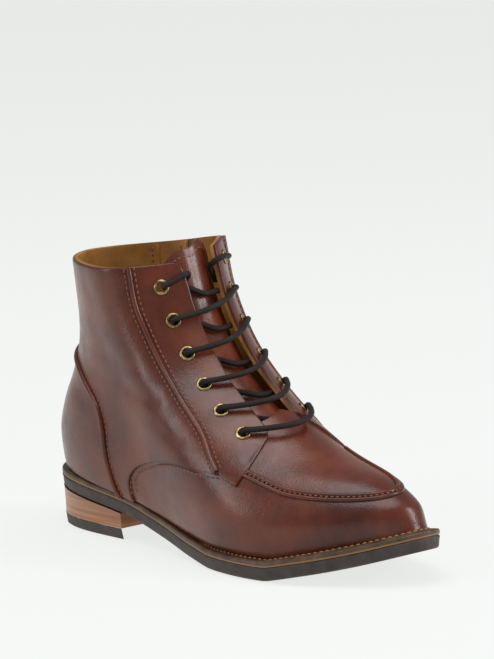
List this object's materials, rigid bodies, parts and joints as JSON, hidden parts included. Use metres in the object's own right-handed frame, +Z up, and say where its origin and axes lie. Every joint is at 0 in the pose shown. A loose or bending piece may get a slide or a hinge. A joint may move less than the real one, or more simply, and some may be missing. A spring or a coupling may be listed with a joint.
{
  "type": "lace up ankle boot",
  "caption": "Right lace up ankle boot in polished leather with an apron toe, open collar, facings with eyelets, inner side zip, welted sole and low stacked heel.",
  "frame": {"origin": "on the floor under the middle of the heel's tread", "axes": "+X to the toe, +Y to the inner (medial) side, +Z up"},
  "size_m": [0.2675, 0.0894, 0.1588],
  "materials": {
    "brown_leather": "polished dark red-brown leather with fine creases",
    "tan_lining": "smooth tan lining leather",
    "dark_rubber": "matt dark rubber",
    "brown_welt": "waxed welt edge with stitches",
    "stacked_leather": "burnished stacked leather",
    "aged_brass": "aged brass, softly polished",
    "waxed_cord": "round waxed cord",
    "woven_tape": "woven zip tape"
  },
  "bodies": {
    "boot": {"outsole": "dark_rubber", "heel_stack": "stacked_leather", "top_lift": "dark_rubber", "welt": "brown_welt", "insole": "tan_lining", "upper": "brown_leather", "tongue": "brown_leather", "quarter_lateral": "brown_leather", "quarter_medial": "brown_leather", "eyestay_lateral": "brown_leather", "eyestay_medial": "brown_leather", "heel_counter": "brown_leather", "counter_piping": "brown_leather", "strip_piping_lateral": "brown_leather", "strip_piping_medial": "brown_leather", "apron_seam": "brown_leather", "zip_tape": "woven_tape", "zip_slider": "aged_brass", "eyelet_lateral_1": "aged_brass", "eyelet_lateral_2": "aged_brass", "eyelet_lateral_3": "aged_brass", "eyelet_lateral_4": "aged_brass", "eyelet_lateral_5": "aged_brass", "eyelet_lateral_6": "aged_brass", "eyelet_medial_1": "aged_brass", "eyelet_medial_2": "aged_brass", "eyelet_medial_3": "aged_brass", "eyelet_medial_4": "aged_brass", "eyelet_medial_5": "aged_brass", "eyelet_medial_6": "aged_brass", "lace_bar_2": "waxed_cord", "lace_bar_3": "waxed_cord", "lace_bar_4": "waxed_cord", "lace_bar_5": "waxed_cord", "lace_bar_6": "waxed_cord", "lace_cross_1": "waxed_cord", "lace_cross_2": "waxed_cord", "lace_cross_3": "waxed_cord", "lace_cross_4": "waxed_cord", "lace_cross_5": "waxed_cord", "lace_end_lateral": "waxed_cord", "lace_end_medial": "waxed_cord"},
    "zip_pull": {"zip_pull": "aged_brass"}
  },
  "joints": [
    {"name": "zip_pull_swing", "type": "hinge", "parent": "boot", "child": "zip_pull", "pos_m": [0.0301, 0.04143, 0.13615], "axis": [0.9838, 0.1792, 0.0099], "range_deg": [0, 150]}
  ]
}
